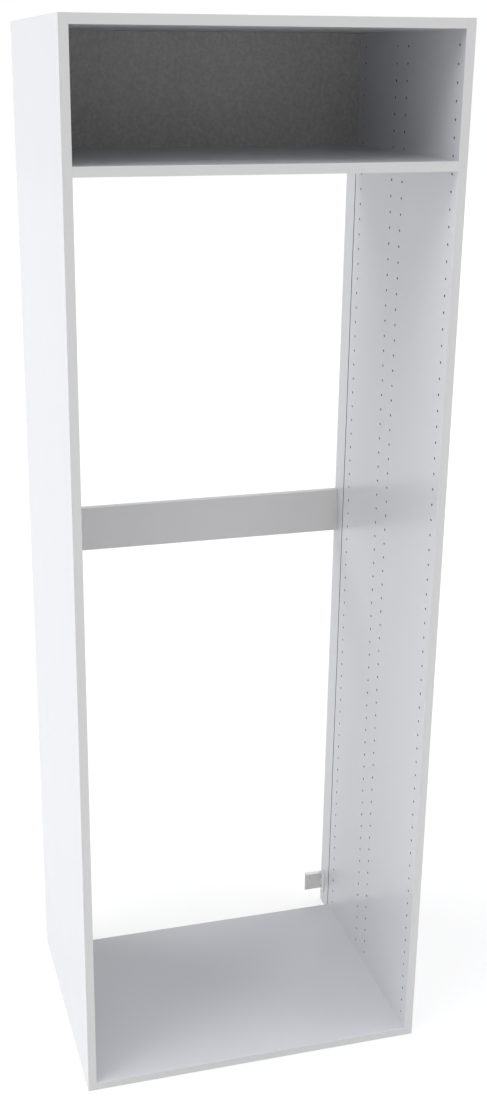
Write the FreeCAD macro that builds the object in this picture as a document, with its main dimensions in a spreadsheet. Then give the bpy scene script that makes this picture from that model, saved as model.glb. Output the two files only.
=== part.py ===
import FreeCAD, Part
import os
import Sketcher
from FreeCAD import Placement, Rotation, Vector

# Tall oven housing unit: an open-fronted carcass of white faced chipboard.
# Two full-height sides are drilled with four columns of system holes.  Top, bottom and one
# fixed shelf stand between them, the compartment above the shelf has a thin grooved-in back,
# and a rail ties the rear edges.  Everything below the shelf is open at the back.
# Origin: middle of the base, on the floor.  +Z up, the open front looks along -Y.

os.makedirs("parts", exist_ok=True)
doc = FreeCAD.newDocument("TallOvenHousing")

# ---- driving dimensions, millimetres ----------------------------------------------------
driving = {
    "unit_width": 750,
    "unit_depth": 576,
    "unit_height": 2170,
    "board": 18,  # faced chipboard
    "band": 1,  # edge band on the front edges
    "arris": 0.6,  # rounding of an edge band's corners
    "top_clear": 227,  # clear height of the closed compartment
    # system drilling of the sides
    "row_pitch": 32,
    "row_margin": 45,  # first row above the base, and the least room left at the top
    "system_hole": 5,
    "system_depth": 12.5,
    "front_column": 26,  # hole centres behind the front edge
    "middle_columns": 55,  # between the two columns that straddle mid depth
    "rear_column": 33.5,  # hole centres in front of the groove's middle
    # grooved-in back of the compartment
    "groove_from_rear": 56,  # groove's middle to the rear edge of the side
    "groove_depth": 7,
    "groove_play": 0.2,  # each side of the back panel
    "groove_end_play": 0.5,
    "back_board": 3,
    "back_gap": 0.3,  # between the back panel and the boards in front of it
    "back_screws": 5,  # along each board
    "back_screw_inset": 57,
    # rear rail
    "rail_base": 1038,
    "rail_width": 100,
    # cam and bolt connectors, with dowels beside them
    "cam_setback": 50,  # cam centre to the board's front or rear edge
    "cam_reach": 24,  # cam centre to the board's end
    "cam_bore": 15,
    "cam_floor": 4.4,  # how far the bore goes past the board's mid thickness
    "cam_play": 0.1,
    "cam_recess": 0.3,
    "cam_edge": 0.5,
    "cam_drive": 8,  # length of each slot of the cross in the cam's face
    "cam_drive_width": 1.6,
    "cam_drive_depth": 2.2,
    "head_play": 0.4,  # between the bolt's head and the cam's entry
    "neck_play": 0.4,  # between the bolt's neck and the cam's slot
    "hollow_play": 1.4,  # between the bolt's head and the cam's round hollow
    "bolt_head": 6.6,
    "bolt_head_length": 3,
    "bolt_head_rounding": 1.2,
    "bolt_neck": 4,
    "bolt_shank": 7.4,
    "bolt_collar": 2.5,  # length of the wide end against the side
    "bolt_ring": 1,  # width of the ring just outside the cam
    "bolt_edge": 1,  # length of each cone between two widths
    "bolt_bore": 8,
    "bolt_thread": 5,
    "bolt_thread_length": 11.5,
    "connector_depth": 12.5,  # drilling into the side for bolts and dowels
    "dowel": 8,
    "dowel_length": 30,
    "dowel_taper": 1,
    "dowel_play": 0.05,
    "dowel_end_play": 0.5,
    "dowel_offset": 32,  # dowel centre to the cam beside it
    # screws
    "screw_play": 0.05,
    "pilot_spare": 1,  # drilled past the screw's point
    "cross_width": 0.7,
    "cross_depth": 1.1,
    "back_screw": 3,
    "back_screw_length": 22,
    "back_screw_head": 5.7,
    "back_screw_head_height": 1.6,
    "bracket_screw": 4,
    "bracket_screw_length": 15,
    "bracket_screw_head": 7.6,
    "bracket_screw_head_height": 2.2,
    "head_rounding": 1,  # rim of every screw's head
    # wall bracket at the foot of each side
    "bracket_base": 34,
    "bracket_height": 51,
    "bracket_gauge": 2.5,
    "bracket_bend": 2,  # inside radius of the fold
    "wall_leg": 45,
    "side_leg": 25,
    "lip": 10,
    "lip_relief": 4,  # between the lip and the side leg
    "bracket_screw_spacing": 28,
}

# ---- what follows from them --------------------------------------------------------------
worked_out = {
    "inner_width": "Sizes.unit_width - 2 * Sizes.board",
    "mid_board": "Sizes.board / 2",
    "groove_middle": "Sizes.unit_depth - Sizes.groove_from_rear",
    "groove_width": "Sizes.back_board + 2 * Sizes.groove_play",
    "groove_front": "groove_middle - groove_width / 2",
    "groove_rear": "groove_middle + groove_width / 2",
    "infill_depth": "groove_middle - Sizes.back_board / 2 - Sizes.back_gap",
    "top_base": "Sizes.unit_height - Sizes.board",
    "shelf_base": "top_base - Sizes.top_clear - Sizes.board",
    "row_count": "floor((Sizes.unit_height - 2 * Sizes.row_margin) / Sizes.row_pitch) + 1",
    "row_run": "(row_count - 1) * Sizes.row_pitch",
    "middle_front_column": "(Sizes.unit_depth - Sizes.middle_columns) / 2",
    "middle_rear_column": "(Sizes.unit_depth + Sizes.middle_columns) / 2",
    "rear_column": "groove_middle - Sizes.rear_column",
    "back_rear": "groove_middle + Sizes.back_board / 2",
    "back_width": "inner_width + 2 * (Sizes.groove_depth - Sizes.groove_end_play)",
    "back_height": "Sizes.unit_height - shelf_base",
    "back_screw_run": "inner_width - 2 * Sizes.back_screw_inset",
    "back_screw_bore": "Sizes.back_screw + 2 * Sizes.screw_play",
    "back_screw_step": "back_screw_run / (Sizes.back_screws - 1)",
    "back_pilot_depth": "Sizes.back_screw_length - Sizes.back_board - Sizes.back_gap + Sizes.pilot_spare",
    "cam_front": "Sizes.cam_setback",
    "cam_rear": "infill_depth - Sizes.cam_setback",
    "dowel_front": "cam_front + Sizes.dowel_offset",
    "dowel_rear": "cam_rear - Sizes.dowel_offset",
    "rail_cam": "Sizes.rail_width / 2",
    "rail_dowel_low": "rail_cam - Sizes.dowel_offset",
    "rail_dowel_high": "rail_cam + Sizes.dowel_offset",
    "rail_middle": "Sizes.unit_depth - mid_board",
    "cam_bore_depth": "mid_board + Sizes.cam_floor",
    "far_cam": "inner_width - Sizes.cam_reach",
    "cam_radius": "Sizes.cam_bore / 2 - Sizes.cam_play",
    "cam_face": "Sizes.cam_recess - mid_board",
    "cam_bottom": "Sizes.cam_floor - Sizes.cam_recess",
    "cam_hollow": "Sizes.bolt_head / 2 + Sizes.hollow_play",
    "head_gap": "Sizes.bolt_head / 2 + Sizes.head_play",
    "neck_gap": "Sizes.bolt_neck / 2 + Sizes.neck_play",
    "bolt_ring_far": "Sizes.cam_reach - Sizes.cam_bore / 2 - Sizes.bolt_ring",
    "bolt_head_far": "Sizes.cam_reach + Sizes.bolt_head / 2",
    "bolt_head_near": "bolt_head_far - Sizes.bolt_head_length",
    "dowel_radius": "Sizes.dowel / 2 - Sizes.dowel_play",
    "dowel_start": "Sizes.dowel_end_play - Sizes.connector_depth",
    "dowel_finish": "dowel_start + Sizes.dowel_length",
    "dowel_inside": "dowel_finish + Sizes.dowel_end_play",
    "bracket_screw_bore": "Sizes.bracket_screw + 2 * Sizes.screw_play",
    "bracket_pilot_depth": "Sizes.bracket_screw_length - Sizes.bracket_gauge + Sizes.pilot_spare",
    "bracket_screw_forward": "(Sizes.side_leg + Sizes.bracket_gauge) / 2",
    "bracket_screw_setback": "Sizes.unit_depth - bracket_screw_forward",
    "bracket_screw_low": "(Sizes.bracket_height - Sizes.bracket_screw_spacing) / 2",
    "bracket_screw_high": "bracket_screw_low + Sizes.bracket_screw_spacing",
}


def fill_sheet(name, contents):
    sheet = doc.addObject("Spreadsheet::Sheet", name)
    for row, (alias, content) in enumerate(contents.items(), 1):
        sheet.set(f"A{row}", alias)
        sheet.set(f"B{row}", content)
        sheet.setAlias(f"B{row}", alias)
    doc.recompute()
    return sheet


sizes = fill_sheet("Sizes", {alias: str(number) for alias, number in driving.items()})
fits = fill_sheet("Fits", {alias: f"={formula}" for alias, formula in worked_out.items()})


# ---- sketches and features ---------------------------------------------------------------
# Numbers given to new sketch geometry are only a start: its bound constraints set every size.
full_turn, quarter_turn = 360, 90  # degrees


def new_body(label):
    body = doc.addObject("PartDesign::Body", label)
    body.Label = label
    return body


def bind(target, bindings):
    for path, expression in bindings.items():
        target.setExpression(path, expression)


def seat(target, where, turn=None):
    """Bind a piece's place to formulas, one for each named axis, after a fixed turn."""
    if turn:
        target.Placement = Placement(Vector(), turn)
    bind(target, {f"Placement.Base.{axis}": text for axis, text in where.items()})


def new_sketch(body, name, role, offset=None):
    sketch = body.newObject("Sketcher::SketchObject", name)
    plane = next(feature for feature in body.Origin.OriginFeatures if feature.Role == role)
    sketch.AttachmentSupport = (plane, [""])
    sketch.MapMode = "FlatFace"
    if offset:
        bind(sketch, {"AttachmentOffset.Base.z": offset})
    return sketch


def pin_point(sketch, geometry, point, across, up):
    """Hold a point at the given distances from the sketch's origin; None lies on the axis."""
    for kind, axis, text in (("DistanceX", -2, across), ("DistanceY", -1, up)):
        if text is None:
            sketch.addConstraint(Sketcher.Constraint("PointOnObject", geometry, point, axis))
        else:
            index = sketch.addConstraint(Sketcher.Constraint(kind, -1, 1, geometry, point, 10.0))
            bind(sketch, {f"Constraints[{index}]": text})


def add_rectangle(sketch, left, low, right, high):
    corners = [Vector(10, 10, 0), Vector(20, 10, 0), Vector(20, 20, 0), Vector(10, 20, 0)]
    first = sketch.GeometryCount
    for start in range(4):
        sketch.addGeometry(Part.LineSegment(corners[start], corners[(start + 1) % 4]), False)
    for step in range(4):
        ends = (first + step, 2, first + (step + 1) % 4, 1)
        sketch.addConstraint(Sketcher.Constraint("Coincident", *ends))
        direction = "Horizontal" if step % 2 == 0 else "Vertical"
        sketch.addConstraint(Sketcher.Constraint(direction, first + step))
    pin_point(sketch, first, 1, left, low)
    pin_point(sketch, first + 2, 1, right, high)


def add_outline(sketch, points):
    """A closed outline through corners given as (across, up) formulas."""
    count = len(points)
    turns = [Rotation(Vector(0, 0, 1), full_turn * step / count) for step in range(count)]
    start = [turn.multVec(Vector(10, 0, 0)) for turn in turns]
    for step in range(count):
        sketch.addGeometry(Part.LineSegment(start[step], start[(step + 1) % count]), False)
    for step, (across, up) in enumerate(points):
        sketch.addConstraint(Sketcher.Constraint("Coincident", step, 1, (step - 1) % count, 2))
        pin_point(sketch, step, 1, across, up)


def add_cross(sketch, length, width):
    """Two crossed slots as one outline with twelve corners."""
    far, near = f"{length} / 2", f"{width} / 2"
    arm = [(far, f"-{near}"), (far, near), (near, near)]
    corners = []
    for quarter in range(4):
        corners += arm
        arm = [(f"-({up})", across) for across, up in arm]
    add_outline(sketch, corners)


def add_circles(sketch, diameter, centres):
    for across, up in centres:
        circle = sketch.addGeometry(Part.Circle(Vector(10, 10, 0), Vector(0, 0, 1), 1), False)
        index = sketch.addConstraint(Sketcher.Constraint("Diameter", circle, 2.0))
        bind(sketch, {f"Constraints[{index}]": diameter})
        pin_point(sketch, circle, 3, across, up)


def pad(body, sketch, length):
    feature = body.newObject("PartDesign::Pad", sketch.Name + "_pad")
    feature.Profile = sketch
    bind(feature, {"Length": length})
    return feature


def pocket(body, sketch, depth, along_normal):
    """Cut from the sketch into the body, along the sketch's normal or against it."""
    feature = body.newObject("PartDesign::Pocket", sketch.Name + "_pocket")
    feature.Profile = sketch
    feature.Reversed = along_normal
    bind(feature, {"Length": depth})
    return feature


def spin(body, kind, sketch, axis, angle=full_turn):
    """Turn a sketch about its own axis: a Revolution adds material and a Groove takes it away."""
    feature = body.newObject("PartDesign::" + kind, f"{sketch.Name}_{kind.lower()}")
    feature.Profile = sketch
    feature.ReferenceAxis = (sketch, [axis])
    feature.Angle = angle
    return feature


def round_edges(body, name, radius, holds, longer_than=0.0):
    """Round the tip's edges whose end points all pass the test."""
    doc.recompute()
    base = body.Tip
    edges = [
        f"Edge{number}"
        for number, edge in enumerate(base.Shape.Edges, 1)
        if edge.Length > longer_than and all(holds(vertex.Point) for vertex in edge.Vertexes)
    ]
    rounding = body.newObject("PartDesign::Fillet", name)
    rounding.Base = (base, edges)
    bind(rounding, {"Radius": radius})
    return rounding


def level_with(number, size):
    smallest_step = 1e-6
    return abs(number - size) < smallest_step


def repeat(body, feature, sketch, axis, run, count):
    pattern = body.newObject("PartDesign::LinearPattern", feature.Name + "_row")
    pattern.Originals = [feature]
    pattern.Direction = (sketch, [axis])
    bind(pattern, {"Length": run, "Occurrences": count})
    body.Tip = pattern
    return pattern


# ---- shared places -----------------------------------------------------------------------
upright = Rotation(Vector(1, 0, 0), 90)
upside_down = Rotation(Vector(1, 0, 0), 180)
left_face = "-Fits.inner_width / 2"
right_face = "Fits.inner_width / 2"
front = "-Sizes.unit_depth / 2"
rear = "Sizes.unit_depth / 2"
columns = ("Sizes.front_column", "Fits.middle_front_column", "Fits.middle_rear_column", "Fits.rear_column")
board_cams = ("Fits.cam_front", "Fits.cam_rear")
board_dowels = ("Fits.dowel_front", "Fits.dowel_rear")
rail_cams = ("Fits.rail_cam",)
rail_dowels = ("Fits.rail_dowel_low", "Fits.rail_dowel_high")
bracket_screws = ("Fits.bracket_screw_low", "Fits.bracket_screw_high")


# ---- sides -------------------------------------------------------------------------------
def make_side_panel(label):
    """Local frame: inner face at x = 0, finished front at y = 0, base at z = 0."""
    body = new_body(label)
    outline = new_sketch(body, "side_outline", "YZ_Plane")
    add_rectangle(outline, "Sizes.band", None, "Sizes.unit_depth", "Sizes.unit_height")
    pad(body, outline, "Sizes.board")

    groove = new_sketch(body, "back_groove", "YZ_Plane")
    add_rectangle(groove, "Fits.groove_front", None, "Fits.groove_rear", "Sizes.unit_height")
    pocket(body, groove, "Sizes.groove_depth", True)

    levels = ("Fits.mid_board", "Fits.shelf_base + Fits.mid_board", "Fits.top_base + Fits.mid_board")
    bolts = [(setback, level) for level in levels for setback in board_cams]
    bolts += [("Fits.rail_middle", f"Sizes.rail_base + {end}") for end in rail_cams]
    bolt_sketch = new_sketch(body, "bolt_drilling", "YZ_Plane")
    add_circles(bolt_sketch, "Sizes.bolt_thread + 2 * Sizes.screw_play", bolts)
    pocket(body, bolt_sketch, "Sizes.connector_depth", True)

    dowels = [(setback, level) for level in levels for setback in board_dowels]
    dowels += [("Fits.rail_middle", f"Sizes.rail_base + {end}") for end in rail_dowels]
    dowel_sketch = new_sketch(body, "dowel_drilling", "YZ_Plane")
    add_circles(dowel_sketch, "Sizes.dowel", dowels)
    pocket(body, dowel_sketch, "Sizes.connector_depth", True)

    bracket_sketch = new_sketch(body, "bracket_drilling", "YZ_Plane")
    screws = [("Fits.bracket_screw_setback", f"Sizes.bracket_base + {end}") for end in bracket_screws]
    add_circles(bracket_sketch, "Fits.bracket_screw_bore", screws)
    pocket(body, bracket_sketch, "Fits.bracket_pilot_depth", True)

    system_sketch = new_sketch(body, "system_drilling", "YZ_Plane")
    add_circles(system_sketch, "Sizes.system_hole", [(column, "Sizes.row_margin") for column in columns])
    first_row = pocket(body, system_sketch, "Sizes.system_depth", True)
    repeat(body, first_row, system_sketch, "V_Axis", "Fits.row_run", "Fits.row_count")

    seat(body, {"x": right_face, "y": front})
    return body


def mirrored(source, label):
    """The left-hand twin of a right-hand piece."""
    twin = doc.addObject("Part::Mirroring", label)
    twin.Label = label
    twin.Source = source
    twin.Normal = Vector(1, 0, 0)
    return twin


# ---- boards between the sides ------------------------------------------------------------
def make_infill_board(label, depth, cams, dowels, on_top=False, rear_banded=False, rear_screws=False):
    """Local frame: left end at x = 0, finished front at y = 0, underside at z = 0."""
    body = new_body(label)
    outline = new_sketch(body, label + "_outline", "XY_Plane")
    far_edge = f"{depth} - Sizes.band" if rear_banded else depth
    add_rectangle(outline, None, "Sizes.band", "Fits.inner_width", far_edge)
    pad(body, outline, "Sizes.board")

    cam_sketch = new_sketch(body, label + "_cam_bores", "XY_Plane", "Sizes.board" if on_top else None)
    ends = ("Sizes.cam_reach", "Fits.far_cam")
    add_circles(cam_sketch, "Sizes.cam_bore", [(end, setback) for end in ends for setback in cams])
    pocket(body, cam_sketch, "Fits.cam_bore_depth", not on_top)

    for end, offset in (("left", None), ("right", "Fits.inner_width")):
        bolt_sketch = new_sketch(body, f"{label}_{end}_bolt_bores", "YZ_Plane", offset)
        add_circles(bolt_sketch, "Sizes.bolt_bore", [(y, "Fits.mid_board") for y in cams])
        pocket(body, bolt_sketch, "Sizes.cam_reach", end == "left")
        dowel_sketch = new_sketch(body, f"{label}_{end}_dowel_bores", "YZ_Plane", offset)
        add_circles(dowel_sketch, "Sizes.dowel", [(y, "Fits.mid_board") for y in dowels])
        pocket(body, dowel_sketch, "Fits.dowel_inside", end == "left")

    if rear_screws:
        pilot_sketch = new_sketch(body, label + "_pilot", "XZ_Plane", f"-{depth}")
        add_circles(pilot_sketch, "Fits.back_screw_bore", [("Sizes.back_screw_inset", "Fits.mid_board")])
        pilot = pocket(body, pilot_sketch, "Fits.back_pilot_depth", True)
        repeat(body, pilot, pilot_sketch, "H_Axis", "Fits.back_screw_run", "Sizes.back_screws")
    return body


# ---- edge bands --------------------------------------------------------------------------
def make_edge_band(label, role, width, depth, length, outer=0.0):
    """A strip whose thickness lies along Y, with the two corners of its outer face rounded."""
    body = new_body(label)
    profile = new_sketch(body, label + "_profile", role)
    add_rectangle(profile, None, None, width, depth)
    pad(body, profile, length)
    ends = 2 * sizes.board  # the strip's end edges are shorter than this
    round_edges(body, label + "_arris", "Sizes.arris", lambda point: level_with(point.y, outer), ends)
    return body


# ---- wall bracket ------------------------------------------------------------------------
def make_wall_bracket(label):
    """Folded plate.  Local frame: x from the side's face inwards, y from the rear plane forwards."""
    body = new_body(label)
    legs = {
        "bracket_wall_leg": ("Sizes.wall_leg", "Sizes.bracket_gauge"),
        "bracket_side_leg": ("Sizes.bracket_gauge", "Sizes.side_leg"),
    }
    for name, (reach, forward) in legs.items():
        leg = new_sketch(body, name, "XY_Plane")
        add_rectangle(leg, None, None, reach, forward)
        pad(body, leg, "Sizes.bracket_height")

    def upright_edge(offset):
        return lambda point: level_with(point.x, offset) and level_with(point.y, offset)

    round_edges(body, "bracket_inside_bend", "Sizes.bracket_bend", upright_edge(sizes.bracket_gauge))
    outside = "Sizes.bracket_bend + Sizes.bracket_gauge"
    round_edges(body, "bracket_outside_bend", outside, upright_edge(0))

    lip = new_sketch(body, "bracket_lip", "XY_Plane", "Sizes.bracket_height - Sizes.bracket_gauge")
    lip_start = "Sizes.bracket_gauge + Sizes.lip_relief"
    add_rectangle(lip, lip_start, None, "Sizes.wall_leg", "Sizes.bracket_gauge + Sizes.lip")
    pad(body, lip, "Sizes.bracket_gauge")

    holes = new_sketch(body, "bracket_holes", "YZ_Plane")
    centres = [("Fits.bracket_screw_forward", height) for height in bracket_screws]
    add_circles(holes, "Fits.bracket_screw_bore", centres)
    pocket(body, holes, "Sizes.bracket_gauge", True)

    half_turn = Rotation(Vector(0, 0, 1), 180)
    seat(body, {"x": right_face, "y": rear, "z": "Sizes.bracket_base"}, half_turn)
    return body


# ---- compartment back --------------------------------------------------------------------
def make_back_panel(label):
    """Local frame stands up: x along the width, y up, rear face at z = 0."""
    body = new_body(label)
    outline = new_sketch(body, "back_outline", "XY_Plane")
    add_rectangle(outline, None, None, "Fits.back_width", "Fits.back_height")
    pad(body, outline, "Sizes.back_board")
    holes = new_sketch(body, "back_holes", "XY_Plane")
    first = "Sizes.back_screw_inset + (Fits.back_width - Fits.inner_width) / 2"
    levels = ("Fits.mid_board", "Fits.back_height - Fits.mid_board")
    add_circles(holes, "Fits.back_screw_bore", [(first, level) for level in levels])
    drilled = pocket(body, holes, "Sizes.back_board", True)
    repeat(body, drilled, holes, "H_Axis", "Fits.back_screw_run", "Sizes.back_screws")
    rear_face = "Fits.back_rear - Sizes.unit_depth / 2"
    seat(body, {"x": "-Fits.back_width / 2", "y": rear_face, "z": "Fits.shelf_base"}, upright)
    return body


# ---- fasteners ---------------------------------------------------------------------------
def make_dowel():
    """Along X with the board's end at x = 0; the shorter half is in the side."""
    body = new_body("dowel")
    profile = new_sketch(body, "dowel_profile", "XY_Plane")
    narrow = "Fits.dowel_radius - Sizes.dowel_taper"
    add_outline(profile, [
        ("Fits.dowel_start", None),
        ("Fits.dowel_start", narrow),
        ("Fits.dowel_start + Sizes.dowel_taper", "Fits.dowel_radius"),
        ("Fits.dowel_finish - Sizes.dowel_taper", "Fits.dowel_radius"),
        ("Fits.dowel_finish", narrow),
        ("Fits.dowel_finish", None),
    ])
    spin(body, "Revolution", profile, "H_Axis")
    return body


def make_bolt():
    """Along X with the board's end at x = 0; the thread is in the side, the head in the cam."""
    body = new_body("connecting_bolt")
    profile = new_sketch(body, "bolt_profile", "XY_Plane")
    thread, shank, neck, head = (
        f"Sizes.bolt_{name} / 2" for name in ("thread", "shank", "neck", "head")
    )
    add_outline(profile, [
        ("-Sizes.bolt_thread_length", None),
        ("-Sizes.bolt_thread_length", f"{thread} - Sizes.bolt_edge"),
        ("Sizes.bolt_edge - Sizes.bolt_thread_length", thread),
        (None, thread),
        (None, shank),
        ("Sizes.bolt_collar", shank),
        ("Sizes.bolt_collar + Sizes.bolt_edge", neck),
        ("Fits.bolt_ring_far - Sizes.bolt_ring", neck),
        ("Fits.bolt_ring_far - Sizes.bolt_ring", shank),
        ("Fits.bolt_ring_far", shank),
        ("Fits.bolt_ring_far + Sizes.bolt_edge", neck),
        ("Fits.bolt_head_near - Sizes.bolt_edge", neck),
        ("Fits.bolt_head_near", head),
        ("Fits.bolt_head_far", head),
        ("Fits.bolt_head_far", None),
    ])
    spin(body, "Revolution", profile, "H_Axis")
    rim = fits.bolt_head_far
    round_edges(body, "bolt_head_rim", "Sizes.bolt_head_rounding", lambda point: level_with(point.x, rim))
    return body


def make_cam():
    """About Z with the bolt's axis at z = 0 and the driven face below.  The bolt's head enters from
    -Y and the cam then turns a quarter, so that the neck ends up in the slot that looks along -X."""
    body = new_body("cam")
    profile = new_sketch(body, "cam_profile", "XZ_Plane")
    add_outline(profile, [
        (None, "Fits.cam_face"),
        ("Fits.cam_radius", "Fits.cam_face"),
        ("Fits.cam_radius", "Fits.cam_bottom - Sizes.cam_edge"),
        ("Fits.cam_radius - Sizes.cam_edge", "Fits.cam_bottom"),
        (None, "Fits.cam_bottom"),
    ])
    spin(body, "Revolution", profile, "V_Axis")

    hollow = new_sketch(body, "cam_hollow", "XZ_Plane")
    add_rectangle(hollow, None, "-Fits.head_gap", "Fits.cam_hollow", "Fits.head_gap")
    spin(body, "Groove", hollow, "V_Axis")

    entry = new_sketch(body, "cam_entry", "XY_Plane", "-Fits.head_gap")
    add_rectangle(entry, "-Fits.head_gap", "-Sizes.cam_bore", "Fits.head_gap", None)
    pocket(body, entry, "2 * Fits.head_gap", True)

    swing = new_sketch(body, "cam_swing", "XZ_Plane")
    add_rectangle(swing, "-Sizes.cam_bore", "-Fits.neck_gap", None, "Fits.neck_gap")
    spin(body, "Groove", swing, "V_Axis", quarter_turn)

    slot = new_sketch(body, "cam_slot", "XY_Plane", "-Fits.neck_gap")
    add_rectangle(slot, "-Sizes.cam_bore", "-Fits.neck_gap", None, "Fits.neck_gap")
    pocket(body, slot, "2 * Fits.neck_gap", True)

    drive = new_sketch(body, "cam_drive", "XY_Plane", "Fits.cam_face")
    add_cross(drive, "Sizes.cam_drive", "Sizes.cam_drive_width")
    pocket(body, drive, "Sizes.cam_drive_depth", True)
    return body


def make_screw(size):
    """Pan head above z = 0, shank down to the point below it; size is the screw's name in the sheet."""
    body = new_body(size)
    profile = new_sketch(body, size + "_profile", "XZ_Plane")
    shank, length, head, height = (
        f"Sizes.{size}{part}" for part in ("", "_length", "_head", "_head_height")
    )
    add_outline(profile, [
        (None, f"-{length}"),
        (f"{shank} / 2", f"{shank} - {length}"),
        (f"{shank} / 2", None),
        (f"{head} / 2", None),
        (f"{head} / 2", height),
        (None, height),
    ])
    spin(body, "Revolution", profile, "V_Axis")
    top = sizes.get(size + "_head_height")
    round_edges(body, size + "_rim", "Sizes.head_rounding", lambda point: level_with(point.z, top))
    drive = new_sketch(body, size + "_drive", "XY_Plane", height)
    add_cross(drive, shank, "Sizes.cross_width")
    pocket(body, drive, "Sizes.cross_depth", False)
    return body


def copies(label, source, spots):
    """One node of identical pieces, each a link to the source with a place and a turn of its own."""
    links = []
    for number, (where, turn) in enumerate(spots, 1):
        link = doc.addObject("App::Link", f"{label}_{number}")
        link.LinkedObject = source
        seat(link, where, turn)
        links.append(link)
    group = doc.addObject("Part::Compound", label)
    group.Label = label
    group.Links = links
    return group


def board_ends(setbacks, reach, flip):
    """Spots at both ends of an infill board, in the board's frame; the right end is turned round."""
    tilt = upside_down if flip else Rotation()
    ends = ((reach, 0), (f"Fits.inner_width - {reach}", 180))
    return [
        ({"x": across, "y": setback, "z": "Fits.mid_board"}, Rotation(Vector(0, 0, 1), turn).multiply(tilt))
        for across, turn in ends
        for setback in setbacks
    ]


def fit_connectors(board, where, turn, cams, dowels, on_top=False):
    """Cams, bolts and dowels of one board, each kind a group of separate solids."""
    kinds = {
        "_cams": (cam, cams, "Sizes.cam_reach", on_top),
        "_bolts": (bolt, cams, "0", False),
        "_dowels": (dowel, dowels, "0", False),
    }
    groups = []
    for ending, (source, setbacks, reach, flip) in kinds.items():
        group = copies(board.Label + ending, source, board_ends(setbacks, reach, flip))
        seat(group, where, turn)
        groups.append(group)
    return groups


def fit_back_screws():
    heads_back = Rotation(Vector(1, 0, 0), -90)
    spots = [
        ({
            "x": f"Sizes.back_screw_inset - Fits.inner_width / 2 + {number} * Fits.back_screw_step",
            "y": "Fits.back_rear - Sizes.unit_depth / 2",
            "z": f"{base} + Fits.mid_board",
        }, heads_back)
        for base in ("Fits.shelf_base", "Fits.top_base")
        for number in range(int(sizes.back_screws))
    ]
    return copies("back_panel_screws", make_screw("back_screw"), spots)


def fit_bracket_screws():
    spots = [
        ({
            "x": f"{side} * (Fits.inner_width / 2 - Sizes.bracket_gauge)",
            "y": "Sizes.unit_depth / 2 - Fits.bracket_screw_forward",
            "z": f"Sizes.bracket_base + {height}",
        }, Rotation(Vector(0, 1, 0), -90 * side))
        for side in (-1, 1)
        for height in bracket_screws
    ]
    return copies("wall_bracket_screws", make_screw("bracket_screw"), spots)


# ---- assembly ----------------------------------------------------------------------------
pieces = []
right_side = make_side_panel("right_side_panel")
pieces += [right_side, mirrored(right_side, "left_side_panel")]

right_band = make_edge_band(
    "right_side_front_band", "XY_Plane", "Sizes.board", "Sizes.band", "Sizes.unit_height"
)
seat(right_band, {"x": right_face, "y": front})
pieces += [right_band, mirrored(right_band, "left_side_front_band")]

infill = {  # underside, cams on the upper face, screws into the rear edge
    "bottom_panel": ("0", False, False),
    "fixed_shelf": ("Fits.shelf_base", False, True),
    "top_panel": ("Fits.top_base", True, True),
}
fitted = []
for name, (level, on_top, screwed) in infill.items():
    where = {"x": left_face, "y": front, "z": level}
    board = make_infill_board(
        name, "Fits.infill_depth", board_cams, board_dowels, on_top=on_top, rear_screws=screwed
    )
    seat(board, where)
    band = make_edge_band(name + "_front_band", "YZ_Plane", "Sizes.band", "Sizes.board", "Fits.inner_width")
    seat(band, where)
    pieces += [board, band]
    fitted.append((board, where, None, board_cams, board_dowels, on_top))

rail = make_infill_board("rear_rail", "Sizes.rail_width", rail_cams, rail_dowels, rear_banded=True)
where = {"x": left_face, "y": rear, "z": "Sizes.rail_base"}
seat(rail, where, upright)
pieces.append(rail)
fitted.append((rail, where, upright, rail_cams, rail_dowels))
rail_bands = {
    "rear_rail_bottom_band": ("Sizes.rail_base", 0.0),
    "rear_rail_top_band": ("Sizes.rail_base + Sizes.rail_width - Sizes.band", sizes.band),
}
for name, (level, outer) in rail_bands.items():
    band = make_edge_band(name, "YZ_Plane", "Sizes.band", "Sizes.board", "Fits.inner_width", outer)
    seat(band, {"x": left_face, "y": rear, "z": level}, upright)
    pieces.append(band)

pieces.append(make_back_panel("back_panel"))
right_bracket = make_wall_bracket("right_wall_bracket")
pieces += [right_bracket, mirrored(right_bracket, "left_wall_bracket")]

dowel = make_dowel()
bolt = make_bolt()
cam = make_cam()
for board, *fitting in fitted:
    pieces += fit_connectors(board, *fitting)
pieces += [fit_back_screws(), fit_bracket_screws()]
doc.recompute()

# ---- checks and export -------------------------------------------------------------------
for item in doc.Objects:
    if "Invalid" in item.State or "Error" in item.State:
        raise RuntimeError(f"{item.Label} failed to build: {item.State}")
for piece in pieces:
    if piece.Shape.isNull() or not piece.Shape.isValid():
        raise RuntimeError(f"{piece.Label} has no valid shape")
for piece in pieces:
    piece.Shape.exportStep(f"parts/{piece.Label}.step")
    print(f"{piece.Label}: {len(piece.Shape.Solids)} solid(s), {piece.Shape.Volume / 1000:.1f} cm3")
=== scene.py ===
import math
import bmesh
import bpy
import numpy as np
from mathutils import Matrix, Vector


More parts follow.
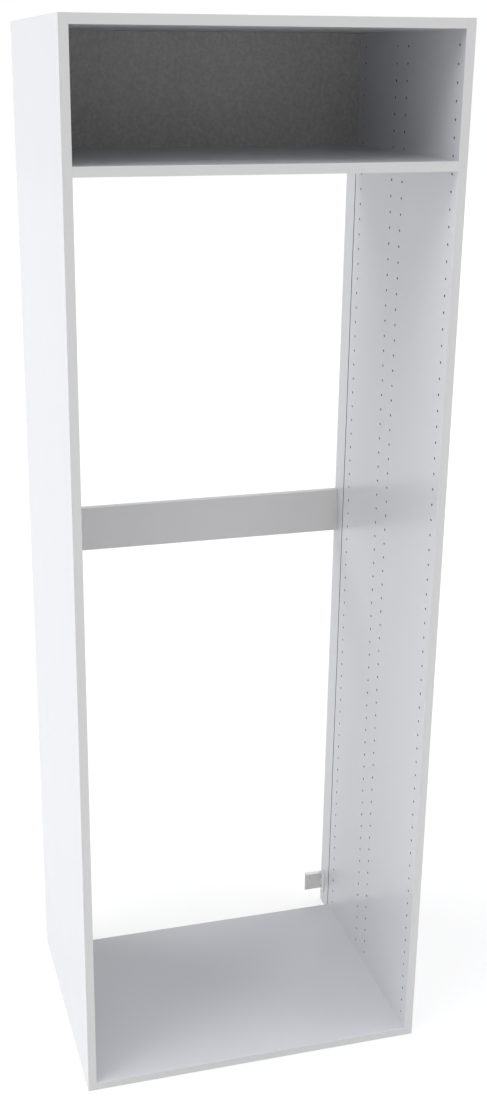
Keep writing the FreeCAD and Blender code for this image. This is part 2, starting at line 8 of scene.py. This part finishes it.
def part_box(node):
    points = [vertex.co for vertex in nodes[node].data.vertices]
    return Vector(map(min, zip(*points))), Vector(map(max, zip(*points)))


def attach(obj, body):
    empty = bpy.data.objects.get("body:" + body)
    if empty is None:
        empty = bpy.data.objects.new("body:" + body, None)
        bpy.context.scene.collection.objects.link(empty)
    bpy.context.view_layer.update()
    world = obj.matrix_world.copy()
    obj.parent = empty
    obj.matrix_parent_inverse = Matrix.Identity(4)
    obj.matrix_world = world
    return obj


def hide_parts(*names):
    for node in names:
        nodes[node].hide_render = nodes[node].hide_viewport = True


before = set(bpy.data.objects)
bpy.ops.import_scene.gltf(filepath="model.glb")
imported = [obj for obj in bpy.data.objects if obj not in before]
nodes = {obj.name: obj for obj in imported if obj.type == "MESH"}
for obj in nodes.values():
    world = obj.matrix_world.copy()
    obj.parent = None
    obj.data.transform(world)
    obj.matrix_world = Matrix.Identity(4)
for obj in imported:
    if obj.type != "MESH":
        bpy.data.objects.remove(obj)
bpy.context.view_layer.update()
scene = bpy.context.scene
print("frame loaded:", len(nodes), "nodes")


# Camera, found by fitting a pinhole view to the hole rows and the straight edges of the carcass
camera = {
    "place": (-0.7807, -2.7333, 2.0933),
    "yaw": 15.252,  # degrees to the right of +Y
    "pitch": -19.633,
    "roll": 0.292,
    "focalPixels": 1401.5,
    "centrePixels": (208.1, 562.4),  # where the lens axis meets the picture
    "picturePixels": (487, 1100),
}


def makeCamera(setup):
    yaw, pitch, roll = (math.radians(setup[name]) for name in ("yaw", "pitch", "roll"))
    forward = Vector((math.sin(yaw) * math.cos(pitch), math.cos(yaw) * math.cos(pitch), math.sin(pitch)))
    level = Vector((math.cos(yaw), -math.sin(yaw), 0))
    rise = level.cross(forward)
    right = level * math.cos(roll) + rise * math.sin(roll)
    up = rise * math.cos(roll) - level * math.sin(roll)
    data = bpy.data.cameras.new("camera")
    wide, tall = setup["picturePixels"]
    data.sensor_width = 36.0
    data.lens = setup["focalPixels"] * data.sensor_width / tall
    data.shift_x = (wide / 2 - setup["centrePixels"][0]) / tall
    data.shift_y = (setup["centrePixels"][1] - tall / 2) / tall
    data.clip_start, data.clip_end = 0.05, 100.0
    made = bpy.data.objects.new("camera", data)
    turn = Matrix((right, up, -forward)).transposed().to_4x4()
    made.matrix_world = Matrix.Translation(setup["place"]) @ turn
    scene.collection.objects.link(made)
    scene.camera = made


makeCamera(camera)
scene.view_settings.view_transform = "Standard"
print("camera set")


# Shader maths: a Wire stands for one output, and the usual signs add Math nodes
class Wire:
    def __init__(self, graph, socket):
        self.graph = graph
        self.socket = socket

    def __add__(self, other):
        return self.graph.maths("ADD", self, other)

    def __radd__(self, other):
        return self.graph.maths("ADD", other, self)

    def __sub__(self, other):
        return self.graph.maths("SUBTRACT", self, other)

    def __rsub__(self, other):
        return self.graph.maths("SUBTRACT", other, self)

    def __mul__(self, other):
        return self.graph.maths("MULTIPLY", self, other)

    def __rmul__(self, other):
        return self.graph.maths("MULTIPLY", other, self)

    def __gt__(self, other):
        return self.graph.maths("GREATER_THAN", self, other)

    def __lt__(self, other):
        return self.graph.maths("LESS_THAN", self, other)

    def __abs__(self):
        return self.graph.maths("ABSOLUTE", self)


class Graph:
    def __init__(self, name):
        self.material = bpy.data.materials.new(name)
        self.material.use_nodes = True
        self.tree = self.material.node_tree
        self.tree.nodes.clear()
        self.out = self.tree.nodes.new("ShaderNodeOutputMaterial")

    # any node: its type, its settings first, then values or wires for its sockets
    def node(self, kind, settings=None, sockets=None):
        made = self.tree.nodes.new(kind)
        for name, value in (settings or {}).items():
            if name == "stops":
                self.setStops(made.color_ramp, value)
            else:
                setattr(made, name, value)
        for name, value in (sockets or {}).items():
            if isinstance(value, Wire):
                self.tree.links.new(value.socket, made.inputs[name])
            else:
                made.inputs[name].default_value = value
        return made

    def setStops(self, ramp, stops):
        while len(ramp.elements) < len(stops):
            ramp.elements.new(0.5)
        for element, (position, colour) in zip(ramp.elements, stops):
            element.position = position
            element.color = (*colour, 1.0)

    # one output of a node, as a value for expressions
    def wire(self, made, name):
        return Wire(self, made.outputs[name])

    def maths(self, operation, *values):
        sockets = dict(enumerate(values))
        return self.wire(self.node("ShaderNodeMath", {"operation": operation}, sockets), "Value")

    def clamp(self, value):
        return self.wire(self.node("ShaderNodeClamp", None, {"Value": value}), "Result")

    def coordinates(self, name="Object"):
        return self.wire(self.node("ShaderNodeTexCoord"), name)

    def parts(self, vector):
        split = self.node("ShaderNodeSeparateXYZ", None, {"Vector": vector})
        return [self.wire(split, name) for name in "XYZ"]

    def stretched(self, vector, scale):
        sockets = {"Vector": vector, "Scale": scale}
        return self.wire(self.node("ShaderNodeMapping", {"vector_type": "POINT"}, sockets), "Vector")

    def noise(self, vector, scale, detail=2.0, roughness=0.5):
        sockets = {"Vector": vector, "Scale": scale, "Detail": detail, "Roughness": roughness}
        return self.wire(self.node("ShaderNodeTexNoise", None, sockets), "Fac")

    def ramp(self, value, stops):
        return self.wire(self.node("ShaderNodeValToRGB", {"stops": stops}, {"Fac": value}), "Color")

    def blend(self, factor, first, second):
        sockets = {0: factor, 6: self.opaque(first), 7: self.opaque(second)}
        return Wire(self, self.node("ShaderNodeMix", {"data_type": "RGBA"}, sockets).outputs[2])

    def opaque(self, colour):
        return colour if isinstance(colour, Wire) else (*colour, 1.0)

    def bump(self, height, strength, distance):
        sockets = {"Height": height, "Strength": strength, "Distance": distance}
        return self.wire(self.node("ShaderNodeBump", None, sockets), "Normal")

    def surface(self, sockets):
        shader = self.node("ShaderNodeBsdfPrincipled", None, sockets)
        self.tree.links.new(shader.outputs["BSDF"], self.out.inputs["Surface"])
        return self.material


# Faced chipboard: the white face lies within a hair of the board's two faces, and all that was sawn or
# drilled shows the wood core.
# In holes and grooves the core is darkened as painted shade of the recesses.
board = {
    "face": (0.612, 0.617, 0.635),
    "railFacePaintedLight": (0.675, 0.668, 0.655),  # paler than the other boards' face: painted light that makes up for the shade the rail stands in; set by the rail's tone in the picture, not a known colour
    "faceRough": 0.215,  # with its slow change it stays between 0.2 and 0.27
    "roughChange": 0.05,
    "slowScale": 5.0,
    "darkestShade": 0.985,  # of the face colour, where the slow change is least
    "pearlScale": 900.0,
    "pearlHeight": 0.000003,
    "chipPale": (0.52, 0.37, 0.22),
    "chipDark": (0.22, 0.13, 0.065),
    # chips inside holes and grooves, darkened as painted shade of the recesses
    "drilledShadePale": (0.16, 0.12, 0.085),
    "drilledShadeDark": (0.075, 0.05, 0.035),
    "chipScale": 210.0,
    "chipFlat": 2.6,  # how much flatter the chips lie than they are long
    "chipStops": (0.32, 0.62),  # noise values of the darkest and the palest chips
    "chipHeight": 0.0004,
    "chipRough": 0.85,
    "facingFace": 0.7,  # least share of the normal along the thin axis for a white face
    "hair": 0.00015,
    "sawnEdge": 0.0003,  # inside this margin of the outline, what isn't white is drilled or grooved and gets the painted shade
}


def boardMaterial(name, thinAxis, low, high, face):
    graph = Graph(name)
    place = graph.coordinates()
    across = graph.parts(place)[thinAxis]
    near, far = low[thinAxis], high[thinAxis]
    facing = abs(graph.parts(graph.coordinates("Normal"))[thinAxis])
    onFace = 1 - (across > near + board["hair"]) * (across < far - board["hair"])
    white = onFace * (facing > board["facingFace"])
    drilled = 1 - white
    margin = board["sawnEdge"]
    for axis, value in enumerate(graph.parts(place)):
        if axis != thinAxis:
            drilled = drilled * (value > low[axis] + margin) * (value < high[axis] - margin)

    slow = graph.noise(place, board["slowScale"], 3.0)
    pearl = graph.noise(place, board["pearlScale"], 2.0)
    faceColour = graph.blend(slow, tuple(channel * board["darkestShade"] for channel in face), face)

    squash = [1.0, 1.0, 1.0]
    squash[thinAxis] = board["chipFlat"]
    lying = graph.stretched(place, tuple(squash))
    chips = graph.noise(lying, board["chipScale"], 4.0, 0.65)
    chipColour = graph.ramp(chips, list(zip(board["chipStops"], (board["chipDark"], board["chipPale"]))))
    # the same chips, darkened for holes and grooves: painted shade
    drilledShadeChips = graph.ramp(chips, list(zip(board["chipStops"], (board["drilledShadeDark"], board["drilledShadePale"]))))
    raw = graph.blend(drilled, chipColour, drilledShadeChips)

    rawRough = board["chipRough"]
    rough = white * (board["faceRough"] + board["roughChange"] * slow - rawRough) + rawRough
    height = white * (pearl * board["pearlHeight"]) + (1 - white) * (chips * board["chipHeight"])
    return graph.surface({
        "Base Color": graph.blend(white, raw, faceColour),
        "Roughness": rough,
        "Normal": graph.bump(height, 1.0, 1.0),
    })


# Edge band: smooth plastic strip, a little less glossy than the board's face
edgeBand = {
    "colour": (0.62, 0.615, 0.605),
    "darkestShade": 0.985,
    "rough": 0.34,
    "roughChange": 0.04,
    "slowScale": 9.0,
    "grainScale": 700.0,
    "grainHeight": 0.000012,
}


def edgeBandMaterial():
    graph = Graph("edgeBandPlastic")
    place = graph.coordinates()
    grain = graph.noise(place, edgeBand["grainScale"], 2.0)
    slow = graph.noise(place, edgeBand["slowScale"], 2.0)
    dark = tuple(channel * edgeBand["darkestShade"] for channel in edgeBand["colour"])
    return graph.surface({
        "Base Color": graph.blend(slow, dark, edgeBand["colour"]),
        "Roughness": edgeBand["rough"] + edgeBand["roughChange"] * slow,
        "Normal": graph.bump(grain * edgeBand["grainHeight"], 1.0, 1.0),
    })


# Back of the compartment: thin fibreboard, lacquered on the inside and bare behind. The grey of the inside
# face is painted shade of the closed compartment, with a random mottle through it; the bare brown behind is
# its own colour.
backBoard = {
    # pale and dark ends of the inside face's grey: painted shade
    "paintedShadeInside": (0.51, 0.503, 0.493),
    "paintedShadeInsideDark": (0.35, 0.346, 0.34),
    "mottleScale": 150.0,
    "mottleShare": 2.0,
    "mottleHeight": 0.00003,
    "cloudScale": 7.0,
    "cloudShare": 0.4,
    "shareBase": -0.7,
    "lacquerDepth": 0.0002,
    "lacquerRough": 0.52,
    "bare": (0.30, 0.19, 0.11),
    "bareDark": (0.20, 0.12, 0.065),
    "bareRough": 0.82,
    "fibreScale": 420.0,
    "fibreHeight": 0.00004,
}


def backBoardMaterial():
    graph = Graph("fibreboardPaintedShade")
    place = graph.coordinates()
    low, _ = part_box("back_panel")
    depth = graph.parts(place)[1]
    inside = depth < low.y + backBoard["lacquerDepth"]
    mottle = graph.noise(place, backBoard["mottleScale"], 4.0, 0.55)
    cloud = graph.noise(place, backBoard["cloudScale"], 2.0)
    pale = mottle * backBoard["mottleShare"] + cloud * backBoard["cloudShare"] + backBoard["shareBase"]
    # inside face: painted shade, mottled at random
    paintedShadeInside = graph.blend(graph.clamp(pale), backBoard["paintedShadeInsideDark"], backBoard["paintedShadeInside"])
    fibre = graph.noise(place, backBoard["fibreScale"], 4.0, 0.7)
    bare = graph.blend(fibre, backBoard["bareDark"], backBoard["bare"])
    return graph.surface({
        "Base Color": graph.blend(inside, bare, paintedShadeInside),
        "Roughness": inside * (backBoard["lacquerRough"] - backBoard["bareRough"]) + backBoard["bareRough"],
        "Normal": graph.bump(mottle * backBoard["mottleHeight"] + fibre * backBoard["fibreHeight"], 1.0, 1.0),
    })


# Metals of the fittings: slow spots over a fine grain
metals = {
    "coatedSteel": {
        "colour": (0.90, 0.89, 0.88),  # white coating made paler than its own colour: painted light that makes up for the shade the bracket stands in; set by the bracket's tone in the picture, not a known colour
        "rough": 0.42, "metallic": 0.0, "scale": 600.0, "height": 0.000006,
    },
    "dieCastZinc": {
        "colour": (0.60, 0.60, 0.61), "rough": 0.36, "metallic": 1.0, "scale": 900.0, "height": 0.000012,
    },
    "platedSteel": {
        "colour": (0.68, 0.67, 0.64), "rough": 0.30, "metallic": 1.0, "scale": 1200.0, "height": 0.000004,
    },
}
metalSpots = {"scale": 60.0, "darkestShade": 0.86, "roughChange": 0.12}


def metalMaterial(name):
    finish = metals[name]
    graph = Graph(name)
    place = graph.coordinates()
    fine = graph.noise(place, finish["scale"], 3.0)
    slow = graph.noise(place, metalSpots["scale"], 3.0)
    dark = tuple(channel * metalSpots["darkestShade"] for channel in finish["colour"])
    return graph.surface({
        "Base Color": graph.blend(slow, dark, finish["colour"]),
        "Metallic": finish["metallic"],
        "Roughness": finish["rough"] + metalSpots["roughChange"] * slow,
        "Normal": graph.bump(fine * finish["height"], 1.0, 1.0),
    })


# Beech of the dowels, with its grain along X
beechWood = {
    "dark": (0.42, 0.26, 0.13),
    "pale": (0.68, 0.50, 0.31),
    "grainStops": (0.3, 0.7),
    "grainScale": 700.0,
    "grainStretch": (0.12, 1.0, 1.0),
    "grainHeight": 0.0001,
    "rough": 0.7,
}


def beechMaterial():
    graph = Graph("beech")
    place = graph.stretched(graph.coordinates(), beechWood["grainStretch"])
    grain = graph.noise(place, beechWood["grainScale"], 4.0, 0.6)
    stops = list(zip(beechWood["grainStops"], (beechWood["dark"], beechWood["pale"])))
    return graph.surface({
        "Base Color": graph.ramp(grain, stops),
        "Roughness": beechWood["rough"],
        "Normal": graph.bump(grain * beechWood["grainHeight"], 1.0, 1.0),
    })


def paint(nodeName, material):
    mesh = nodes[nodeName].data
    mesh.materials.clear()
    mesh.materials.append(material)


boardsByThinAxis = (
    ("right_side_panel", "left_side_panel"),
    ("rear_rail",),
    ("top_panel", "fixed_shelf", "bottom_panel"),
)
for thinAxis, names in enumerate(boardsByThinAxis):
    for name in names:
        # the rail takes its paler copy of the face colour, which is painted light
        face = board["railFacePaintedLight"] if name == "rear_rail" else board["face"]
        paint(name, boardMaterial(name + "_board", thinAxis, *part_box(name), face))
bandPlastic = edgeBandMaterial()
for name in nodes:
    if name.endswith("_band"):
        paint(name, bandPlastic)
paint("back_panel", backBoardMaterial())
coated, zinc, plated = (metalMaterial(name) for name in ("coatedSteel", "dieCastZinc", "platedSteel"))
beech = beechMaterial()
endings = {"_bracket": coated, "_cams": zinc, "_bolts": plated, "_dowels": beech, "_screws": plated}
for name in nodes:
    for ending, material in endings.items():
        if name.endswith(ending):
            paint(name, material)
print("materials painted")


# Fittings are closed surfaces of rings along X, worked out as whole arrays
crestSharpness = 1.6  # of every thread
smoothUpTo = math.radians(32)  # edges that turn more than this stay sharp
mergeWithin = 1e-6


def ringPoints(along, radius, angles):
    # point = (along, radius cos angle, radius sin angle)
    along, radius, angles = np.broadcast_arrays(along, radius, angles)
    return np.stack((along, radius * np.cos(angles), radius * np.sin(angles)), axis=-1)


def evenAngles(count):
    return np.linspace(0, 2 * np.pi, count, endpoint=False)


def crossAngles(length, width, count):
    # even steps, and the corners of a cross, which lie at atan(width / length) from each arm and half way
    corner = math.atan2(width, length)
    quarter = np.array([0, corner, math.pi / 4, math.pi / 2 - corner])
    corners = (quarter[:, None] + np.arange(4) * math.pi / 2).ravel()
    return np.unique(np.round(np.concatenate((evenAngles(count), corners)), 9))


def crossOutline(angles, length, width):
    # distance from the middle of a cross to its outline: the further of its two arms in that direction
    across, up = np.maximum(np.abs(np.cos(angles)), 1e-9), np.maximum(np.abs(np.sin(angles)), 1e-9)
    flat = np.minimum(length / 2 / across, width / 2 / up)
    tall = np.minimum(width / 2 / across, length / 2 / up)
    return np.maximum(flat, tall)


def threadRings(start, finish, pitch, perTurn):
    # even steps from start to finish, about perTurn of them to each pitch
    return np.linspace(start, finish, int((finish - start) / pitch * perTurn) + 2)[:, None]


def threadRadius(along, angles, core, outer, pitch):
    # core + (outer - core) * crest, where the crest runs round as a helix: along / pitch - angle / turn
    phase = along / pitch - angles / (2 * np.pi)
    return core + (outer - core) * (0.5 + 0.5 * np.cos(2 * np.pi * phase)) ** crestSharpness


def ringFaces(rings, sides, copies):
    # quads between neighbouring rings, a cap at each end, and the same again for every copy
    index = np.arange(rings * sides).reshape(rings, sides)
    beside = np.roll(index, -1, axis=1)
    quads = np.stack((index[:-1], beside[:-1], beside[1:], index[1:]), axis=-1).reshape(-1, 4)
    caps = np.stack((index[0, ::-1], index[-1]))
    step = (np.arange(copies) * rings * sides)[:, None, None]
    return (quads + step).reshape(-1, 4).tolist() + (caps + step).reshape(-1, sides).tolist()


def standFor(piece, node):
    scene.collection.objects.link(piece)
    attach(piece, "root")
    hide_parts(node)


def addFitting(name, points, spots, finish):
    # the same points at every spot: place + turn applied to point
    rings, sides = points.shape[:2]
    flat = points.reshape(-1, 3)
    placed = np.concatenate([flat @ np.array(turn.to_3x3()).T + np.array(place) for turn, place in spots])
    mesh = bpy.data.meshes.new(name)
    mesh.from_pydata(placed.tolist(), [], ringFaces(rings, sides, len(spots)))
    mesh.shade_smooth()
    mesh.set_sharp_from_angle(angle=smoothUpTo)
    mesh.materials.append(finish["material"])
    piece = bpy.data.objects.new(name, mesh)
    standFor(piece, finish["node"])


def solidBoxes(node):
    # the separate solids of a CAD node, each as its lowest and highest corner
    work = bmesh.new()
    work.from_mesh(nodes[node].data)
    bmesh.ops.remove_doubles(work, verts=work.verts, dist=mergeWithin)
    waiting, boxes = set(work.verts), []
    while waiting:
        edge = [waiting.pop()]
        reached = list(edge)
        while edge:
            beside = {link.other_vert(corner) for corner in edge for link in corner.link_edges} & waiting
            waiting -= beside
            edge = list(beside)
            reached += edge
        places = np.array([corner.co for corner in reached])
        boxes.append((Vector(places.min(axis=0)), Vector(places.max(axis=0))))
    work.free()
    return boxes


# Beech dowel: sixteen pressed flutes and tapered ends
dowel = {
    "length": 0.030,
    "radius": 0.00395,
    "taper": 0.001,
    "flutes": 16,
    "fluteDepth": 0.00035,
    "sidesPerFlute": 6,
}


def dowelPoints(setup):
    # radius = full radius - flute depth * (half cosine of the flutes)^3, drawn in at both ends
    half = setup["length"] / 2
    along = np.array([-half, setup["taper"] - half, 0.0, half - setup["taper"], half])[:, None]
    drawnIn = np.array([1.0, 0.0, 0.0, 0.0, 1.0])[:, None] * setup["taper"]
    angles = evenAngles(setup["flutes"] * setup["sidesPerFlute"])
    flute = (0.5 - 0.5 * np.cos(setup["flutes"] * angles)) ** 3 * setup["fluteDepth"]
    return ringPoints(along, setup["radius"] - drawnIn - flute, angles)


# Connecting bolt: coarse thread for the side, collar, neck, guide ring and round head
bolt = {
    "threadLength": 0.0115,
    "threadRadius": 0.0025,
    "coreRadius": 0.0019,
    "pitch": 0.0022,
    "perTurn": 8,
    "sides": 28,
    "startShare": 0.35,  # of its radius, at the thread's first ring
    "profile": (  # distance from the board's end, radius
        (0.0, 0.0037), (0.0025, 0.0037), (0.0035, 0.0020), (0.0145, 0.0020), (0.0145, 0.0037),
        (0.0155, 0.0037), (0.0165, 0.0020), (0.0233, 0.0020), (0.0243, 0.0033),
    ),
    "headEnd": 0.0273,
    "headRadius": 0.0033,
    "headRound": 0.0012,
    "socketLength": 0.0030,
    "socketWidth": 0.0008,
    "socketDepth": 0.0012,
}


heads = {
    "rimSteps": 5,
    "recessEdge": 0.00006,
    "floorLength": 0.62,  # of the recess at its floor, as shares of its size at the top
    "floorWidth": 0.7,
    "floorMiddle": 0.2,  # radius of the small ring that closes the floor, as a share of the width
}


def roundedRim(end, radius, rounding):
    # quarter circle from the side of a head to its end
    turn = np.linspace(0, np.pi / 2, heads["rimSteps"])
    along = end - rounding + rounding * np.sin(turn)
    return np.stack((along, radius - rounding + rounding * np.cos(turn)), axis=1)


def crossRecess(end, length, width, depth, angles):
    # rings of a cross that narrows towards its floor, closed by a small round one
    edge = heads["recessEdge"]
    levels = np.array([end, end - edge, end - depth, end - depth])[:, None]
    outlines = np.stack((
        crossOutline(angles, length + edge, width + edge),
        crossOutline(angles, length, width),
        crossOutline(angles, length * heads["floorLength"], width * heads["floorWidth"]),
        np.full(len(angles), width * heads["floorMiddle"]),
    ))
    return levels + 0 * outlines, outlines


def boltPoints(setup):
    # thread, then the profile, the rounded head and its recess, ring after ring
    angles = crossAngles(setup["socketLength"], setup["socketWidth"], setup["sides"])
    thread = threadRings(-setup["threadLength"], 0, setup["pitch"], setup["perTurn"])
    start = np.clip((thread + setup["threadLength"]) / setup["coreRadius"], setup["startShare"], 1)
    screw = start * threadRadius(thread, angles, setup["coreRadius"], setup["threadRadius"], setup["pitch"])
    body = np.array(setup["profile"])
    rim = roundedRim(setup["headEnd"], setup["headRadius"], setup["headRound"])
    plain = np.concatenate((body, rim))
    deep, outlines = crossRecess(
        setup["headEnd"], setup["socketLength"], setup["socketWidth"], setup["socketDepth"], angles
    )
    along = np.concatenate((thread + 0 * screw, plain[:, :1] + 0 * angles, deep))
    return ringPoints(along, np.concatenate((screw, plain[:, 1:] + 0 * angles, outlines)), angles)


# Chipboard screws: pan head with a cross recess, plain neck, thread down to the point
screws = {
    "back_panel_screws": {
        "length": 0.022, "radius": 0.0015, "core": 0.00095, "pitch": 0.00135, "plain": 0.0012,
        "headRadius": 0.00285, "headHeight": 0.0016, "headRound": 0.001,
        "socketLength": 0.003, "socketWidth": 0.0007, "socketDepth": 0.0011,
    },
    "wall_bracket_screws": {
        "length": 0.015, "radius": 0.002, "core": 0.0013, "pitch": 0.0018, "plain": 0.0026,
        "headRadius": 0.0038, "headHeight": 0.0022, "headRound": 0.001,
        "socketLength": 0.004, "socketWidth": 0.0007, "socketDepth": 0.0011,
    },
}
screwShape = {
    "sides": 24,
    "perTurn": 7,
    "tipShare": 0.04,  # of its radius, at the point
    "taperRadii": 4,  # length of the point, in thread radii
}


def screwPoints(setup):
    # thread radius, narrowed to the point over the last two diameters
    angles = crossAngles(setup["socketLength"], setup["socketWidth"], screwShape["sides"])
    thread = threadRings(-setup["length"], -setup["plain"], setup["pitch"], screwShape["perTurn"])
    taper = screwShape["taperRadii"] * setup["radius"]
    point = np.clip((thread + setup["length"]) / taper, screwShape["tipShare"], 1)
    wound = point * threadRadius(thread, angles, setup["core"], setup["radius"], setup["pitch"])
    neck = np.array([(-setup["plain"], setup["core"]), (0.0, setup["core"]), (0.0, setup["headRadius"])])
    rim = roundedRim(setup["headHeight"], setup["headRadius"], setup["headRound"])
    plain = np.concatenate((neck, rim))
    deep, outlines = crossRecess(
        setup["headHeight"], setup["socketLength"], setup["socketWidth"], setup["socketDepth"], angles
    )
    along = np.concatenate((thread + 0 * wound, plain[:, :1] + 0 * angles, deep))
    return ringPoints(along, np.concatenate((wound, plain[:, 1:] + 0 * angles, outlines)), angles)


asDrawn = Matrix.Identity(4)
turnedRound = Matrix.Rotation(math.pi, 4, "Z")
towardsRear = Matrix.Rotation(math.pi / 2, 4, "Z")


def fitDowels(node):
    spots = [(asDrawn, (low + high) / 2) for low, high in solidBoxes(node)]
    finish = {"material": beech, "node": node, "slot": "beech_dowel"}
    addFitting(node + "_fluted", dowelPoints(dowel), spots, finish)


def fitBolts(node):
    spots = []
    for low, high in solidBoxes(node):
        middle = (low + high) / 2
        onLeft = middle.x < 0
        boardEnd = low.x + bolt["threadLength"] if onLeft else high.x - bolt["threadLength"]
        spots.append((asDrawn if onLeft else turnedRound, Vector((boardEnd, middle.y, middle.z))))
    finish = {"material": plated, "node": node, "slot": "connecting_bolt"}
    addFitting(node + "_threaded", boltPoints(bolt), spots, finish)


def fitScrews(node):
    setup, spots = screws[node], []
    for low, high in solidBoxes(node):
        middle, head = (low + high) / 2, setup["headHeight"]
        if node == "back_panel_screws":
            spots.append((towardsRear, Vector((middle.x, high.y - head, middle.z))))
        elif middle.x < 0:
            spots.append((asDrawn, Vector((high.x - head, middle.y, middle.z))))
        else:
            spots.append((turnedRound, Vector((low.x + head, middle.y, middle.z))))
    finish = {"material": plated, "node": node, "slot": "plated_screw"}
    addFitting(node + "_threaded", screwPoints(setup), spots, finish)


# Cast and folded pieces keep their CAD form, with the edges eased: widths in metres, angles in degrees
eased = {"cams": 0.00012, "brackets": 0.0003, "segments": 2, "flatWithin": 0.5, "sharpFrom": 40}


def easeEdges(node, width, material):
    work = bmesh.new()
    work.from_mesh(nodes[node].data)
    bmesh.ops.remove_doubles(work, verts=work.verts, dist=mergeWithin)
    flat = math.radians(eased["flatWithin"])
    bmesh.ops.dissolve_limit(work, angle_limit=flat, verts=work.verts, edges=work.edges)
    mesh = bpy.data.meshes.new(node + "_eased")
    work.to_mesh(mesh)
    work.free()
    mesh.shade_smooth()
    mesh.set_sharp_from_angle(angle=smoothUpTo)
    mesh.materials.clear()
    mesh.materials.append(material)
    piece = bpy.data.objects.new(node + "_eased", mesh)
    bevel = piece.modifiers.new("easedEdges", "BEVEL")
    bevel.width = width
    bevel.segments = eased["segments"]
    bevel.limit_method = "ANGLE"
    bevel.angle_limit = math.radians(eased["sharpFrom"])
    standFor(piece, node)


for holder in ("bottom_panel", "fixed_shelf", "top_panel", "rear_rail"):
    fitDowels(holder + "_dowels")
    fitBolts(holder + "_bolts")
    easeEdges(holder + "_cams", eased["cams"], zinc)
for name in screws:
    fitScrews(name)
for side in ("left", "right"):
    # the brackets' coated steel carries a paler colour that is partly painted light
    easeEdges(side + "_wall_bracket", eased["brackets"], coated)
print("fittings made")


# Floor, world and lamps
studio = {
    "floorSize": 48.0,
    "floorDrop": 0.0005,  # keeps the floor clear of the object's underside
    "floorColour": (0.9, 0.9, 0.9),
    "floorSeen": (0.97, 0.97, 0.97),  # to the camera, and in anything glossy or clear
    "worldColour": (0.95, 0.96, 1.0),
    "worldStrength": 0.38,
    "shadowShare": 0.3,  # of the floor that is shaded; the rest glows white
}


def makeFloor():
    half, drop = studio["floorSize"] / 2, studio["floorDrop"]
    mesh = bpy.data.meshes.new("floor")
    corners = [(-half, -half), (half, -half), (half, half), (-half, half)]
    mesh.from_pydata([(x, y, -drop) for x, y in corners], [], [(0, 1, 2, 3)])
    floor = bpy.data.objects.new("floor", mesh)
    scene.collection.objects.link(floor)
    graph = Graph("paleFloor")
    rays = graph.node("ShaderNodeLightPath")
    seen = graph.wire(rays, "Is Camera Ray")
    for name in ("Is Glossy Ray", "Is Transmission Ray"):
        seen = graph.maths("MAXIMUM", seen, graph.wire(rays, name))
    colour = graph.blend(seen, studio["floorColour"], studio["floorSeen"])
    diffuse = graph.node("ShaderNodeBsdfDiffuse", None, {"Color": colour})
    glow = graph.node("ShaderNodeEmission", None, {"Color": (1, 1, 1, 1), "Strength": 1.0})
    mix = graph.node("ShaderNodeMixShader", None, {"Fac": seen * (1 - studio["shadowShare"])})
    graph.tree.links.new(diffuse.outputs[0], mix.inputs[1])
    graph.tree.links.new(glow.outputs[0], mix.inputs[2])
    graph.tree.links.new(mix.outputs[0], graph.out.inputs["Surface"])
    mesh.materials.append(graph.material)


def makeWorld():
    world = bpy.data.worlds.new("studio")
    world.use_nodes = True
    scene.world = world
    tree = world.node_tree
    tree.nodes.clear()
    rays = tree.nodes.new("ShaderNodeLightPath")
    soft = tree.nodes.new("ShaderNodeBackground")
    soft.inputs["Color"].default_value = (*studio["worldColour"], 1.0)
    soft.inputs["Strength"].default_value = studio["worldStrength"]
    white = tree.nodes.new("ShaderNodeBackground")
    white.inputs["Color"].default_value = (1, 1, 1, 1)
    white.inputs["Strength"].default_value = 1.0
    shown = rays.outputs["Is Camera Ray"]
    for name in ("Is Glossy Ray", "Is Transmission Ray"):
        either = tree.nodes.new("ShaderNodeMath")
        either.operation = "MAXIMUM"
        tree.links.new(shown, either.inputs[0])
        tree.links.new(rays.outputs[name], either.inputs[1])
        shown = either.outputs[0]
    mix = tree.nodes.new("ShaderNodeMixShader")
    out = tree.nodes.new("ShaderNodeOutputWorld")
    tree.links.new(shown, mix.inputs["Fac"])
    tree.links.new(soft.outputs[0], mix.inputs[1])
    tree.links.new(white.outputs[0], mix.inputs[2])
    tree.links.new(mix.outputs[0], out.inputs["Surface"])


# Large soft lamps far off: where each one stands (degrees round from +X and up), how wide it looks,
# its strength on a surface that faces it, and its colour
lamps = {
    "left": {"round": 180, "up": 45, "wide": 60, "strength": 0.66, "colour": (0.985, 0.99, 1.0)},
    "right": {"round": 0, "up": 45, "wide": 60, "strength": 0.42, "colour": (1.0, 1.0, 0.985)},
    "leftFront": {"round": -135, "up": 35, "wide": 50, "strength": 0.14, "colour": (1.0, 0.995, 0.985)},
    "highFront": {"round": -90, "up": 78, "wide": 24, "strength": 0.15, "colour": (0.82, 0.86, 1.0)},
}


def makeLamp(name, setup):
    around, up = math.radians(setup["round"]), math.radians(setup["up"])
    away = Vector((math.cos(around) * math.cos(up), math.sin(around) * math.cos(up), math.sin(up)))
    data = bpy.data.lights.new(name, "SUN")
    data.angle = math.radians(setup["wide"])
    data.energy = setup["strength"] * math.pi
    data.color = setup["colour"]
    lamp = bpy.data.objects.new(name, data)
    lamp.rotation_euler = (-away).to_track_quat("-Z", "Y").to_euler()
    scene.collection.objects.link(lamp)


makeFloor()
makeWorld()
for name, setup in lamps.items():
    makeLamp(name, setup)
print("studio lit")
